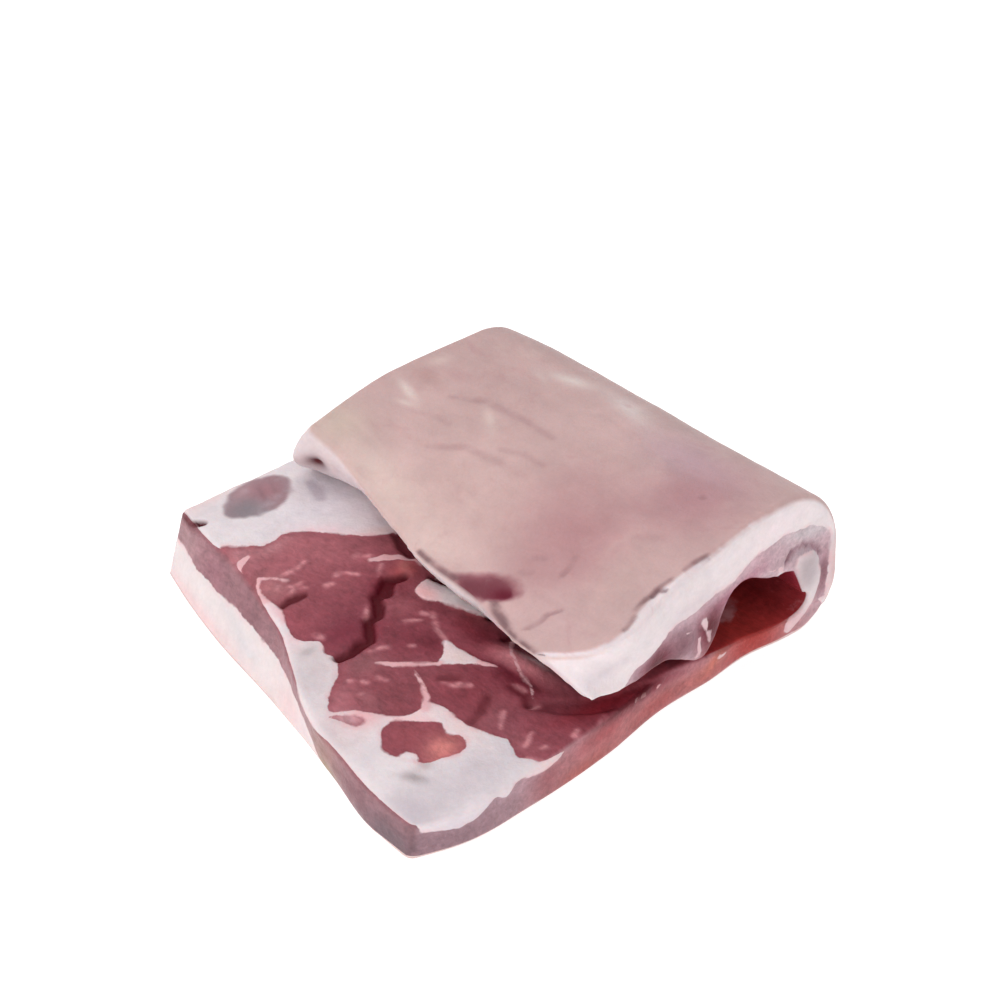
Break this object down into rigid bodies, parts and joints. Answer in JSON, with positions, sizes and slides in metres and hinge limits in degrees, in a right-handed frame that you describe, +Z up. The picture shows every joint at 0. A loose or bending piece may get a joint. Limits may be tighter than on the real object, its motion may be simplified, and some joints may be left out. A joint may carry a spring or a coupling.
{
  "type": "pork belly slab",
  "caption": "Raw pork belly slab with its rind on, folded over once so that lean and fat show on the lower layer and pale rind on the upper one.",
  "frame": {"origin": "under the middle of the folded slab's box, on the surface that it rests on", "axes": "+Z up; Y along the fold, which lies on the +X side; the free edges of both layers face -X, and the -Y end is the one where the flap reaches furthest over the lower layer"},
  "size_m": [0.253, 0.2412, 0.082],
  "materials": {
    "belly": "moist raw meat: pale rosy rind, creamy white fat and dusky red lean"
  },
  "bodies": {
    "root": {"belly_slab": "belly"}
  },
  "joints": []
}
